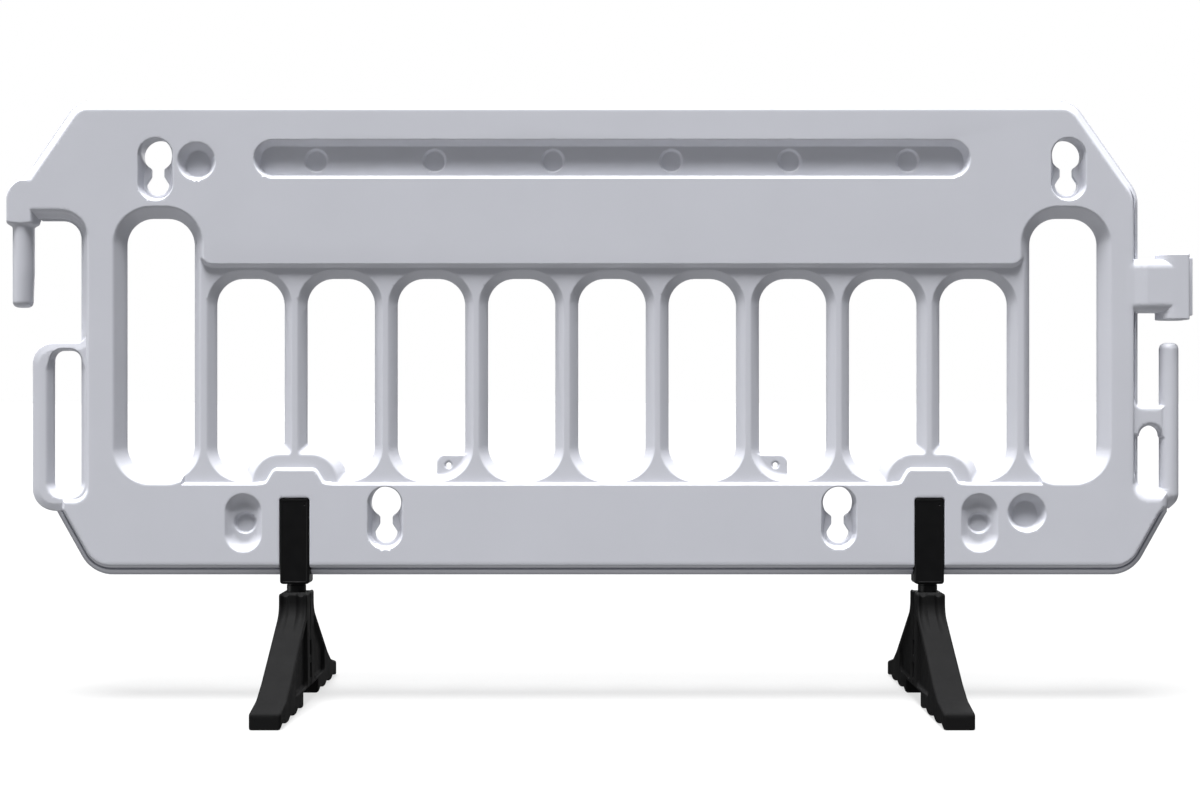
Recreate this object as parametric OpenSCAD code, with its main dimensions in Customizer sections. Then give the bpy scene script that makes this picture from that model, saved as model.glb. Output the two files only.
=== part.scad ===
// Pedestrian barricade: a one-piece moulded plastic panel on two swivel feet.
// The panel stands in the XZ plane, its front faces -Y and the ground is Z = 0.
// Heights are measured from the ground, and lengths in the panel from its own centre line.

/* [Panel] */
// Thickness of the moulded panel, front face to back face
panel_t = 40; // [36:1:44]
// Height of the panel's bottom edge above the ground
panel_bottom = 210.8; // [206:0.2:215]
// Height of the panel's top edge above the ground
panel_top = 1007; // [980:1:1040]
// Half length of the panel at its right edge
panel_right = 882.8; // [870:1:890]
// Half length of the panel at its left edge
panel_left = 891; // [885:1:900]
// How far the sides of the moulding slope in from its mid-plane to its face
edge_draft = 19; // [16:0.5:20]
// Radius of the four outer corners
corner_r = 46; // [30:1:60]

/* [Openings] */
// Number of small openings between the two tall ones
slot_count = 9; // [9:2:9]
// Spacing of the small openings
slot_pitch = 151.6; // [149:0.2:153]
// Width of an opening at the mid-plane
slot_w = 111.6; // [106:0.2:114]
// Height of a small opening at the mid-plane
slot_h = 324; // [300:1:326]
// Height of a tall end opening at the mid-plane
tall_h = 425; // [400:1:430]
// Height of the openings' lower ends above the ground
slot_z = 382.4; // [380:0.2:390]
// Corner radius of an opening at the mid-plane
slot_r = 44; // [35:1:50]
// Half thickness of the thin slatted field
slat_half_t = 13; // [11:0.5:15]
// How far an opening's walls slope out from the mid-plane to the slatted field
slot_draft = 15; // [12:0.5:16]

/* [Recesses] */
// Length of the long top groove
groove_l = 1196; // [1100:1:1210]
// Height of the long top groove
groove_h = 66; // [60:1:70]
// Height of the groove's centre line above the ground
groove_z = 905.5; // [900:0.5:912]
// Depth of the groove
groove_depth = 11; // [8:0.5:12]
// Number of weld dimples in the groove
dimple_count = 6; // [4:1:8]
// Spacing of the weld dimples
dimple_pitch = 198.3; // [120:0.1:200]
// Width of a keyhole's stadium recess
keyhole_w = 59; // [55:1:62]
// Height of a keyhole's stadium recess
keyhole_h = 110; // [106:1:112]
// Radius of a keyhole's large end
keyhole_r = 24.8; // [22:0.2:26]
// Radius of a keyhole's small end
keyhole_small_r = 18.5; // [15:0.5:19]
// Half thickness of the web that a keyhole pierces
web_half_t = 4; // [3:0.5:6]

/* [Links] */
// Radius of the left hook's peg
peg_r = 17.7; // [16:0.1:18.5]
// Length of the peg below its collar
peg_l = 133; // [110:1:150]
// Radial room that the socket gives a peg
link_clearance = 1.3; // [0.5:0.1:2]
// Thickness of the right link socket, front to back
socket_t = 50; // [48:1:60]
// Radius of the upright rod below the socket
rod_r = 15.8; // [13:0.1:17]

/* [Feet] */
// Distance of each foot's swivel axis from the panel's centre line
foot_x = 530; // [520:1:540]
// Length of a foot, across the panel
foot_l = 520; // [480:2:560]
// Width of a foot
foot_w = 49; // [47:0.5:52]
// Height of a foot's boss above the ground
foot_h = 182.5; // [178:0.5:186]
// Spacing of the teeth under a foot
tooth_pitch = 64; // [60:1:65]
// Radius of the steel spindle that a foot turns on
spindle_r = 8; // [6:0.5:9]
// Radial running clearance between the spindle and its bush
running_gap = 0.05; // [0.02:0.01:0.1]
// Width of the black block that carries the spindle
block_w = 49.4; // [46:0.2:52]
// Height of the block
block_h = 144; // [140:1:150]
// Thickness of the block, front to back
block_t = 38.6; // [36:0.2:40]

/* [Hidden] */
$fn = 64;

panel_color = "#c6c9d4";
block_color = "#17171a";
rubber_color = "#2e2e31";
steel_color = "#a9adb2";
bush_color = "#202024";

// The link hook reaches further from the panel's centre than the socket does, so the whole is centred.
hook_reach = 1017.2;
socket_reach = 973.9;
panel_x = (hook_reach - socket_reach) / 2;

half_t = panel_t / 2;
arc_steps = 5;
clear = 2;
seat = 0.2;

// Edge profile of the moulding: [distance from the mid-plane, inset of the outline]
edge_profile = [[0, 0], [12.5, 11.5], [17, 13.2], [half_t, edge_draft]];

// Convex outlines that make up the panel at its mid-plane, anticlockwise: [x, z, corner radius]
notch = [932.4, 318];
lobe_left = 350.3;
lobe_right = 354.8;
bottom_corner_x = 872.4;
bottom_r = 60;
arm_bottom = 804;
arm_top = 883;
arm_end = -1017.2;
top_left_x = -897.5;
top_right_x = 773.5;
right_shoulder_z = 850.8;
main_outline = [
    [-panel_left, 300, 1], [panel_right, 300, 1], [panel_right, right_shoulder_z, bottom_r],
    [top_right_x, panel_top, corner_r], [-panel_left + 60, panel_top, 1], [-panel_left, panel_top - 60, 1]];
sill_outline = [
    [-bottom_corner_x, panel_bottom, bottom_r], [bottom_corner_x, panel_bottom, bottom_r],
    [notch[0], notch[1], 4], [notch[0] - 3, lobe_right, 8],
    [-notch[0] + 3, lobe_left, 4], [-notch[0], notch[1], 4]];
brow_outline = [
    [-960, arm_top - 30, 1], [-780, arm_top - 60, 1], [-780, panel_top, 1],
    [top_left_x, panel_top, corner_r], [-983, arm_top - 1, 2]];
arm_outline = [
    [arm_end, arm_bottom, 4], [-850, arm_bottom, 1], [-850, arm_top, 1], [arm_end, arm_top, 42]];
hook_fillet_r = 30;
fillet_reach = hook_fillet_r + 26;
hook_fillet = [
    [-panel_left + fillet_reach, arm_bottom + fillet_reach, 1],
    [-panel_left - fillet_reach, arm_bottom + fillet_reach, 1],
    [-panel_left - fillet_reach, arm_bottom, 1], [-panel_left, arm_bottom, hook_fillet_r],
    [-panel_left, arm_bottom - fillet_reach, 1], [-panel_left + fillet_reach, arm_bottom - fillet_reach, 1]];

// Slatted field
field_low = 358;
field_high = 730.8;
field_step = 8;
tall_x = 757.3;
tall_side = 686.4;
board_corner_r = 21;

// Hoods that carry the foot blocks
hood_base = 340;
hood_half = 68;
hood_top = 409;
hood_r = 43;
boss_half = 31;
boss_spread = 58;
boss_top = 387.2;
boss_r = 10;

// Left carry loop
loop_out = 970.7;
loop_in = 935.4;
loop_low = 317.5;
loop_high = 600.8;
loop_bar_top = 14.5;
bar_profile = [[0, 0], [8, 1.5], [13, 5], [16, 9.5], [17, 14]];

// Links
peg_x = -988;
peg_collar_r = 28.5;
peg_end_z = arm_bottom - 12 - peg_l;
socket_x = 938;
socket_left = 900;
socket_right = 962;
socket_low = 638;
socket_high = 748;
bridge_low = 650;
bridge_high = 739;
rod_x = 935;
rod_low = 345;
rod_high = 600;
rod_bridge_low = 442.6;
rod_bridge_high = 493;
rod_gap_r = 18.2;
rod_gap_x = 900.6;

// Tie tabs
tab_x = 274.3;
tab_z = 395.5;
tab_r = 15;
tab_hole_r = 4.4;
tab_half_t = 4;

// Foot stack, from the block down to the clip under the foot
block_low = 196.4;
block_high = block_low + block_h;
tongue_half_t = 5;
tongue_reach = 5;
washer_t = 1.5;
collar_high = block_low - washer_t - 0.3;
bush_r = 13;
bush_low = 96;
collar_r = 16;
arch_h = 24;
arch_half = 67;
spindle_low = 8;
spindle_high = block_low + 118;
end_washer_high = arch_h;
end_washer_t = 3;
groove_clip_high = end_washer_high - end_washer_t - 0.4;
clip_t = 1.6;
clip_groove_r = spindle_r - 1.2;
cross_pin_r = 3;
cross_pin_z = block_low + 96;

// Corner geometry of an outline given as [x, z, radius] points, anticlockwise
function heading(c, i) =
    let (n = len(c), a = c[i % n], b = c[(i + 1) % n], v = [b[0] - a[0], b[1] - a[1]])
    v / norm(v);
function inward(u) = [-u[1], u[0]];
function turned(v, a) = [v[0] * cos(a) - v[1] * sin(a), v[0] * sin(a) + v[1] * cos(a)];
function corner_arc(c, i, inset, steps) =
    let (n = len(c),
         u = heading(c, i + n - 1),
         w = heading(c, i),
         nu = inward(u),
         nw = inward(w),
         vertex = [c[i][0], c[i][1]] + inset * (nu + nw) / (1 + nu * nw),
         turn = atan2(u[0] * w[1] - u[1] * w[0], u * w),
         side = turn >= 0 ? 1 : -1,
         r = max(c[i][2] - side * inset, 0.4),
         start = vertex - r * tan(abs(turn) / 2) * u,
         centre = start + side * r * nu)
    [for (k = [0 : steps]) centre - side * r * turned(nu, turn * k / steps)];
function outline(c, inset = 0, steps = arc_steps) =
    [for (i = [0 : len(c) - 1]) each corner_arc(c, i, inset, steps)];
function rounded_box(x, z, w, h, r) =
    [[x - w / 2, z - h / 2, r], [x + w / 2, z - h / 2, r], [x + w / 2, z + h / 2, r], [x - w / 2, z + h / 2, r]];
function mirrored_profile(p) =
    [for (i = [len(p) - 1 : -1 : 0]) if (p[i][0] > 0) [-p[i][0], p[i][1]], each p];

// Solid whose outline changes from level to level: levels = [[y, inset], ...] with y rising
module drafted(c, levels, steps = arc_steps) {
    rings = [for (l = levels) [for (p = outline(c, l[1], steps)) [p[0], l[0], p[1]]]];
    n = len(rings[0]);
    m = len(rings);
    polyhedron(
        points = [for (ring = rings) each ring],
        faces = [
            [0, for (i = [n - 1 : -1 : 1]) i],
            [for (i = [0 : n - 1]) (m - 1) * n + i],
            for (j = [0 : m - 2], i = [0 : n - 1])
                each [[j * n + i, j * n + (i + 1) % n, (j + 1) * n + (i + 1) % n],
                      [j * n + i, (j + 1) * n + (i + 1) % n, (j + 1) * n + i]]],
        convexity = 12);
}

// The same, symmetric about the mid-plane: profile = [[distance from the mid-plane, inset], ...]
module moulded(c, profile, steps = arc_steps) {
    drafted(c, mirrored_profile(profile), steps);
}

// Cutter for a shape sunk in both faces: floor_at is the half thickness left under it
module sunk(c, floor_at, draft, steps = arc_steps) {
    for (side = [0, 1])
        mirror([0, side, 0])
            drafted(c, [[-half_t - clear, 0], [-half_t, 0], [-floor_at, draft]], steps);
}

module small_slots() {
    for (i = [0 : slot_count - 1])
        moulded(rounded_box((i - (slot_count - 1) / 2) * slot_pitch, slot_z + slot_h / 2, slot_w, slot_h, slot_r),
                [[0, 0], [slat_half_t, -slot_draft]]);
}

module tall_slots() {
    skew = 2;
    for (side = [0, 1])
        mirror([side, 0, 0])
            translate([skew, 0, 0])
                moulded(rounded_box(-tall_x - skew, slot_z + tall_h / 2, slot_w, tall_h, slot_r),
                        [[0, 0], [half_t, -edge_draft], [half_t + clear, -edge_draft]]);
}

// The slatted field lies below the face, and its top corners are scooped out beside the tall openings
module slatted_field() {
    inner = tall_side + 32;
    middle = (field_low + field_high) / 2;
    difference() {
        union() {
            sunk(rounded_box(0, middle, 2 * inner, field_high - field_low, 1), slat_half_t, field_step);
            for (side = [0, 1])
                mirror([side, 0, 0])
                    sunk([[-inner, field_high - 40, 1], [-tall_side + 50, field_high - 40, 1],
                          [-tall_side + 50, field_high, 1], [-tall_side, field_high, board_corner_r],
                          [-tall_side, field_high + 45, 1], [-inner, field_high + 45, 1]],
                         slat_half_t, field_step);
        }
        hoods(boss_spread, boss_half, boss_top, boss_r,
              [[slat_half_t - 1, -field_step * 8 / 7], [half_t, 0], [half_t + 2 * clear, 0]]);
    }
}

// Solid hood round each foot block, left standing where the field and the openings would cut it
module hoods(low_half, top_half, top, r, profile) {
    for (x = [-foot_x, foot_x])
        moulded([[x - low_half, hood_base, 1], [x + low_half, hood_base, 1],
                 [x + top_half, top, r], [x - top_half, top, r]],
                profile);
}

// Slot in the panel's bottom edge that takes a foot block, with a tongue left on its sides and top
module block_slots() {
    for (x = [-foot_x, foot_x])
        translate([x, 0, 0])
            difference() {
                translate([-block_w / 2 - seat, -half_t - clear, panel_bottom - 10])
                    cube([block_w + 2 * seat, panel_t + 2 * clear, block_high + seat - panel_bottom + 10]);
                for (side = [-1, 1])
                    translate([side * (block_w / 2 + seat) - tongue_reach, -tongue_half_t, 0])
                        cube([2 * tongue_reach, 2 * tongue_half_t, panel_top]);
            }
}

module top_groove() {
    sunk(rounded_box(0, groove_z, groove_l, groove_h, groove_h / 2 - 0.5), half_t - groove_depth, 9, 4);
    for (i = [0 : dimple_count - 1])
        dimple((i - (dimple_count - 1) / 2) * dimple_pitch, groove_z, 14.2, 19.7, half_t - groove_depth, 3.5);
}

// Weld dimple: a cone from top_r at half thickness from down to floor_r at half thickness to
module dimple(x, z, floor_r, top_r, from, to) {
    for (side = [-1, 1])
        translate([x, 0, z])
            rotate([-90 * side, 0, 0])
                rotate_extrude($fn = 32)
                    polygon([[0, to], [floor_r, to], [top_r, from], [top_r, from + clear], [0, from + clear]]);
}

module face_dimples() {
    dimple(-693.4, 902.7, 21, 31.7, half_t, 9);
    dimple(692.2, 315.8, 21, 32, half_t, 9);
    for (side = [-1, 1]) {
        sunk(rounded_box(side * 614.3 - 1, 299, 60.7, 98, 30), 11, 8, 4);
        dimple(side * 614, 299, 14, 18.8, 11, 4);
    }
}

module keyhole_cut(x, z) {
    sunk(rounded_box(x, z, keyhole_w, keyhole_h, keyhole_w / 2 - 0.5), web_half_t, 8, 4);
    rotate([90, 0, 0])
        linear_extrude(panel_t, center = true) {
            translate([x, z + 27])
                circle(keyhole_r);
            translate([x, z - 23])
                circle(keyhole_small_r);
            translate([x - 10.4, z - 23])
                square([20.8, 45]);
        }
}

module keyholes() {
    for (side = [-1, 1]) {
        keyhole_cut(side * 762, 888.6);
        keyhole_cut(side * 378.8, 306.5);
    }
}

module carry_loop() {
    difference() {
        moulded([[-loop_out, loop_low, 38], [-880, loop_low, 1], [-880, loop_high, 1], [-loop_out, loop_high, 36]],
                bar_profile);
        finger_opening();
    }
}

module finger_opening() {
    low = lobe_left;
    high = loop_high - loop_bar_top;
    outward = [for (p = bar_profile) [p[0] + (p[0] == 17 ? 5 : 0), -p[1]]];
    moulded([[-loop_in, low, 12], [-panel_left, low, 12], [-panel_left, high, 17], [-loop_in, high, 17]], outward);
}

// Everything that the mould forms in the panel's own thickness
module moulded_body() {
    difference() {
        union() {
            moulded(main_outline, edge_profile);
            moulded(sill_outline, edge_profile);
            moulded(brow_outline, edge_profile);
            moulded(arm_outline, edge_profile);
            moulded(hook_fillet, edge_profile);
            carry_loop();
        }
        slatted_field();
        tall_slots();
        difference() {
            small_slots();
            hoods(hood_half, hood_half, hood_top, hood_r, [[0, -slot_draft], [slat_half_t + clear, 0]]);
        }
        block_slots();
        top_groove();
        face_dimples();
        keyholes();
    }
}

module link_peg() {
    translate([peg_x, 0, 0]) {
        translate([0, 0, peg_end_z])
            rotate_extrude()
                polygon([[0, 0], [9, 0], [13.5, 2.2], [16, 6], [16.7, 11], [peg_r, 60], [peg_r, peg_l + 14], [0, peg_l + 14]]);
        intersection() {
            translate([0, 0, arm_bottom - 13])
                cylinder(h = 13, r1 = peg_r + 1, r2 = peg_collar_r);
            translate([-40, -half_t + 0.5, arm_bottom - 20])
                cube([80, panel_t - 1, 40]);
        }
        intersection() {
            translate([0, 0, arm_bottom])
                cylinder(h = 26, r = peg_collar_r);
            translate([-40, -half_t + 0.5, arm_bottom - 20])
                cube([80, panel_t - 1, 60]);
        }
    }
}

module link_socket() {
    corner = 8;
    difference() {
        union() {
            translate([0, 0, socket_low])
                linear_extrude(socket_high - socket_low) {
                    translate([socket_left + corner, -socket_t / 2])
                        square([socket_right - socket_left - 2 * corner, socket_t]);
                    translate([socket_left, -socket_t / 2 + corner])
                        square([socket_right - socket_left, socket_t - 2 * corner]);
                    for (x = [socket_left + corner, socket_right - corner], s = [-1, 1])
                        translate([x, s * (socket_t / 2 - corner)])
                            circle(corner);
                }
            translate([socket_right - 8, -5, socket_low + 7])
                cube([socket_reach - socket_right + 8, 10, socket_high - socket_low - 12]);
            translate([0, 0, bridge_low])
                linear_extrude(bridge_high - bridge_low)
                    polygon([[panel_right - 30, -half_t + 0.6], [panel_right - 8, -half_t + 0.6],
                             [socket_left + 4, -socket_t / 2 + 1.5], [socket_left + 4, socket_t / 2 - 1.5],
                             [panel_right - 8, half_t - 0.6], [panel_right - 30, half_t - 0.6]]);
        }
        translate([socket_x, 0, socket_low - 1])
            cylinder(h = socket_high - socket_low + 2, r = peg_r + link_clearance);
    }
}

module link_rod() {
    translate([rod_x, 0, rod_low])
        rotate_extrude()
            polygon([[0, -16], [8, -14], [13.5, -8], [rod_r, 0], [rod_r, rod_high - rod_low - 9],
                     [rod_r - 2.5, rod_high - rod_low - 3], [rod_r - 7, rod_high - rod_low], [0, rod_high - rod_low]]);
    difference() {
        translate([panel_right - 25, -12.5, rod_bridge_low])
            cube([rod_x - panel_right + 25, 25, rod_bridge_high - rod_bridge_low]);
        translate([rod_gap_x, 0, rod_bridge_low])
            rotate([90, 0, 0])
                cylinder(h = 60, r = rod_gap_r, center = true);
    }
}

module tie_tab() {
    rotate([90, 0, 0])
        difference() {
            linear_extrude(2 * tab_half_t, center = true) {
                translate([-tab_x - 4.4, tab_z + 2])
                    circle(tab_r);
                translate([-tab_x - 4.4, tab_z - 24])
                    square([40, 26]);
                translate([-tab_x - 19.4, tab_z - 24])
                    square([20, 26]);
                translate([-tab_x - 4.4, tab_z - 10])
                    square([40, 27]);
            }
            translate([-tab_x, tab_z, 0])
                cylinder(h = 40, r = tab_hole_r, center = true);
        }
}

module panel() {
    color(panel_color)
        translate([panel_x, 0, 0]) {
            moulded_body();
            link_peg();
            link_socket();
            link_rod();
            tie_tab();
            mirror([1, 0, 0])
                tie_tab();
        }
}

// The block fills the panel's slot, grips the tongue and carries the spindle
module foot_block(x) {
    color(block_color)
        translate([panel_x + x, 0, 0])
            difference() {
                rotate([90, 0, 0])
                    linear_extrude(block_t, center = true)
                        polygon(outline(rounded_box(0, block_low + block_h / 2, block_w, block_h, 5), 0, 6));
                for (side = [-1, 1])
                    translate([side * (block_w / 2 + seat) - tongue_reach - 0.2, -tongue_half_t - 0.2, panel_bottom - 11])
                        cube([2 * tongue_reach + 0.4, 2 * tongue_half_t + 0.4, block_h]);
                translate([0, 0, block_low - 1])
                    cylinder(h = spindle_high - block_low + 1, r = spindle_r);
                translate([0, 0, cross_pin_z])
                    rotate([0, 90, 0])
                        cylinder(h = block_w + 2, r = cross_pin_r, center = true);
            }
}

module spindle(x) {
    color(steel_color)
        translate([panel_x + x, 0, 0])
            difference() {
                rotate_extrude()
                    polygon([[0, spindle_low], [spindle_r - 1, spindle_low], [spindle_r, spindle_low + 1],
                             [spindle_r, groove_clip_high - clip_t], [clip_groove_r, groove_clip_high - clip_t],
                             [clip_groove_r, groove_clip_high], [spindle_r, groove_clip_high],
                             [spindle_r, spindle_high - 1], [spindle_r - 1, spindle_high], [0, spindle_high]]);
                translate([0, 0, cross_pin_z])
                    rotate([0, 90, 0])
                        cylinder(h = 4 * spindle_r, r = cross_pin_r, center = true);
            }
}

// Locks the spindle in the block, and is hidden by the panel's slot
module cross_pin(x) {
    length = block_w - 2 * tongue_reach - 1;
    color(steel_color)
        translate([panel_x + x, 0, cross_pin_z])
            rotate([0, 90, 0])
                cylinder(h = length, r = cross_pin_r, center = true);
}

module retaining_clip(x) {
    color(steel_color)
        translate([panel_x + x, 0, groove_clip_high - clip_t])
            linear_extrude(clip_t)
                difference() {
                    circle(spindle_r + 4.5);
                    circle(clip_groove_r);
                    translate([-4, 0])
                        square([8, 20]);
                }
}

module thrust_washer(x) {
    color(steel_color)
        translate([panel_x + x, 0, collar_high])
            linear_extrude(washer_t)
                difference() {
                    circle(collar_r - 0.6);
                    circle(spindle_r + 0.3);
                }
}

module neck_bush(x) {
    color(bush_color)
        translate([panel_x + x, 0, 0])
            difference() {
                union() {
                    translate([0, 0, foot_h])
                        cylinder(h = collar_high - foot_h, r = collar_r);
                    translate([0, 0, bush_low])
                        cylinder(h = foot_h - bush_low + 1, r = bush_r);
                }
                translate([0, 0, bush_low - 1])
                    cylinder(h = collar_high - bush_low + 2, r = spindle_r + running_gap);
            }
}

module end_washer(x) {
    color(steel_color)
        translate([panel_x + x, 0, end_washer_high - end_washer_t])
            linear_extrude(end_washer_t)
                difference() {
                    circle(18);
                    circle(spindle_r + 0.3);
                }
}

// Side view of a foot, from its middle to its toe
foot_boss_half = 34;
foot_slope = [[foot_boss_half, 151], [168, 58], [205, 38], [252, 28]];
slope_fall = (foot_slope[0][1] - foot_slope[1][1]) / (foot_slope[1][0] - foot_slope[0][0]);
pocket_depth = 13;
pocket_low = 30;
pocket_far = 132;
pillar_half = 31;
flange_t = 11;
flute_x = 13;
flute_r = 6;
flute_stand = 2;
flute_run_r = 8;
flute_run_rise = 3.5;
flute_run_l = 90;
flute_run_out = 4;

module foot_profile() {
    toe = foot_l / 2;
    half = [[foot_boss_half - 4, foot_h], [foot_boss_half, foot_h - 4], each foot_slope,
            [toe - 3, 26], [toe, 22], [toe, 0]];
    polygon([for (p = half) p, for (i = [len(half) - 1 : -1 : 0]) [-half[i][0], half[i][1]]]);
}

module foot_pockets() {
    top = foot_slope[0][1] - flange_t * sqrt(1 + slope_fall * slope_fall);
    for (end = [0, 1], side = [0, 1])
        mirror([0, end, 0])
            mirror([side, 0, 0])
                translate([foot_w / 2 - pocket_depth, 0, 0])
                    rotate([90, 0, 90])
                        linear_extrude(pocket_depth + 1)
                            polygon([[pillar_half, pocket_low], [pocket_far, pocket_low],
                                     [pocket_far, top - slope_fall * (pocket_far - foot_boss_half)],
                                     [pillar_half, top - slope_fall * (pillar_half - foot_boss_half)]]);
}

module foot_windows() {
    for (side = [-1, 1], z = [50, 88])
        translate([side * foot_w / 2 - 4, -6, z - 12])
            cube([8, 12, 24]);
}

// Two flutes on each end leave a rib between them: they run down the boss and rise out of the slope
module foot_flutes() {
    for (end = [0, 1], side = [-1, 1])
        mirror([0, end, 0])
            translate([side * flute_x, foot_boss_half, foot_slope[0][1]]) {
                translate([0, flute_stand, -flute_r])
                    cylinder(h = foot_h, r = flute_r);
                translate([0, flute_run_rise, flute_run_rise])
                    rotate([-90 - atan(slope_fall) + flute_run_out, 0, 0])
                        translate([0, 0, -flute_run_r])
                            cylinder(h = flute_run_l, r = flute_run_r);
            }
}

module foot_teeth() {
    gap = 48;
    rise = 7;
    scallop_r = (gap * gap / 4 + rise * rise) / (2 * rise);
    first = arch_half + 4 + tooth_pitch / 2;
    for (end = [-1, 1], i = [0 : 2])
        translate([0, end * (first + i * tooth_pitch), rise - scallop_r])
            rotate([0, 90, 0])
                cylinder(h = foot_w + 2, r = scallop_r, center = true);
    translate([-foot_w, -arch_half, -1])
        cube([2 * foot_w, 2 * arch_half, arch_h + 1]);
}

module foot(x) {
    color(rubber_color)
        translate([panel_x + x, 0, 0])
            difference() {
                rotate([90, 0, 90])
                    linear_extrude(foot_w, center = true)
                        foot_profile();
                foot_pockets();
                foot_windows();
                foot_flutes();
                foot_teeth();
                translate([0, 0, bush_low])
                    cylinder(h = foot_h, r = bush_r);
                cylinder(h = foot_h, r = spindle_r + 0.6);
            }
}

panel();
foot_block(-foot_x);  // left_foot_block
foot_block(foot_x);  // right_foot_block
spindle(-foot_x);  // left_spindle
spindle(foot_x);  // right_spindle
cross_pin(-foot_x);  // left_cross_pin
cross_pin(foot_x);  // right_cross_pin
retaining_clip(-foot_x);  // left_retaining_clip
retaining_clip(foot_x);  // right_retaining_clip
thrust_washer(-foot_x);  // left_thrust_washer
thrust_washer(foot_x);  // right_thrust_washer
neck_bush(-foot_x);  // left_neck_bush
neck_bush(foot_x);  // right_neck_bush
foot(-foot_x);  // left_foot
foot(foot_x);  // right_foot
end_washer(-foot_x);  // left_end_washer
end_washer(foot_x);  // right_end_washer
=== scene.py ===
"""Looks of a moulded pedestrian barricade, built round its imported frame.

Shapes are signed fields in millimetres, negative inside, measured from the panel's centre line and the
ground. Each is turned into one closed mesh in metres.
"""
import math

import bpy
import numpy as np
import openvdb
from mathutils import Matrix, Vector


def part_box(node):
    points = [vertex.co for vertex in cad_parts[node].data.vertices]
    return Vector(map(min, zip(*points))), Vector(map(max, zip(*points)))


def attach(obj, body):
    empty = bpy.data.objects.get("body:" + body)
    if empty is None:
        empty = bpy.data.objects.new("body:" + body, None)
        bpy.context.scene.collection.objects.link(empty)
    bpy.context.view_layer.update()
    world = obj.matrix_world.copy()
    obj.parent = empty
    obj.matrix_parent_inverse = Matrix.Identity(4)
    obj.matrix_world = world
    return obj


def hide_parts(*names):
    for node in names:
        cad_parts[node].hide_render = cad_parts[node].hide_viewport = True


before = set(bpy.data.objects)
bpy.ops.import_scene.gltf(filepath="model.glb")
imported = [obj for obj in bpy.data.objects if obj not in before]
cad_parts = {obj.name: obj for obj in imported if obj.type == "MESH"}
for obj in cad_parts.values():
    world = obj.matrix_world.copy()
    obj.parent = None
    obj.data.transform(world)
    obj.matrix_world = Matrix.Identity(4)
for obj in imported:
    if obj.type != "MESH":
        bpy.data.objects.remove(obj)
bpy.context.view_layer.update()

MM = 0.001
# Stands for a distance too large to matter
FAR = 1e3
SIDES = (-1, 1)


def box_mm(node):
    """Lowest and highest corner of a node, in millimetres."""
    return [np.array(corner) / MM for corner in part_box(node)]


def middle(node):
    return sum(box_mm(node)) / 2


# Places taken from the frame
PANEL_X = (middle("left_foot_block")[0] + middle("right_foot_block")[0]) / 2
FOOT_X = (middle("right_foot_block")[0] - middle("left_foot_block")[0]) / 2
PANEL_LOW, PANEL_HIGH = box_mm("panel")
BLOCK_LOW, BLOCK_HIGH = box_mm("left_foot_block")
FOOT_LOW, FOOT_HIGH = box_mm("left_foot")
NECK_LOW, NECK_HIGH = box_mm("left_neck_bush")

# Meshing: grid steps, how far flat cells are merged, and the share of triangles kept
PANEL_STEP = 1.0
FOOT_STEP = 1.0
BLOCK_STEP = 0.8
NECK_STEP = 0.6
ADAPTIVITY = 0.004
PANEL_KEEP = 0.2
FOOT_KEEP = 0.2
BLOCK_KEEP = 0.3
NECK_KEEP = 0.15
# A triangle at least this wide has normals of its own, taken this far in, where they turn by more than this
WIDE = 3
INSET = 2
TURN_DEGREES = 1
# Half the span over which a normal is measured, in grid steps
PROBE = 0.6

# Plate: half thicknesses
HALF_T = 20
SLAT_T = 13
GROOVE_T = 5
WEB_T = 4
# Plate: places
PLATE_LEFT = -891
PLATE_RIGHT = 882.8
PLATE_BOTTOM = PANEL_LOW[2]
PLATE_TOP = PANEL_HIGH[2]
ARM_LOW = 804
ARM_END = PANEL_LOW[0] - PANEL_X
LOBE_X = 932.4
LOBE_LOW = 318
LOBE_LEFT_TOP = 350.3
LOBE_RIGHT_TOP = 354.8
LOBE_RIGHT_END = LOBE_X - 1
# Corners of the plate's outline at its mid-plane, anticlockwise: x, z and radius
PLATE = [
    (-872.4, PLATE_BOTTOM, 60), (872.4, PLATE_BOTTOM, 60),
    (LOBE_X, LOBE_LOW, 10), (LOBE_RIGHT_END, LOBE_RIGHT_TOP, 12),
    (PLATE_RIGHT, LOBE_RIGHT_TOP, 14), (PLATE_RIGHT, 850.8, 60),
    (773.5, PLATE_TOP, 46), (-897.5, PLATE_TOP, 46), (-985, 879.5, 2),
    (ARM_END, 870.3, 42), (ARM_END, ARM_LOW, 5),
    (PLATE_LEFT, ARM_LOW, 30), (PLATE_LEFT, LOBE_LEFT_TOP, 8),
    (3 - LOBE_X, LOBE_LEFT_TOP, 6), (-LOBE_X, LOBE_LOW, 10)]

# Half thickness of the plate against the distance in from its outline: the mould's parting line, a flange,
# a shoulder and, on the lower and right edges, a line between them
EDGE_IN = [-20, 0, 0.5, 3.8, 4.2, 9.2, 9.8, 10.4, 12.0, 12.6, 13.4, 14.4, 16.2, 18.0, 20.0]
EDGE_HALF = [-60, 0, 3.4, 3.5, 5.4, 10.8, 11.4, 11.9, 13.4, 14.3, 15.8, 17.3, 18.9, 19.8, HALF_T]
LINE_HALF = [-60, 0, 3.4, 3.5, 5.8, 11.8, 11.6, 7.4, 6.8, 11.5, 15.0, 17.2, 18.9, 19.8, HALF_T]
# How much narrower that edge is down the right side and at the hook
SIDE_SQUEEZE = 1.27
HOOK_SQUEEZE = 2.4
# Parts of the plan, as where each blend starts and where it is complete, along x and then along z
SIDE_ZONE = [(800, 850), (340, 380), (880, 800)]
HOOK_ZONE = [(-968, -990), (800, 820)]
RIGHT_LINE_ZONE = [(800, 830), (368, 390), (868, 825)]
ROLL_ZONE = [(866, 884), (312, 328), (368, 352)]
LOWER_LINE = (338, 322)
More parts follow.
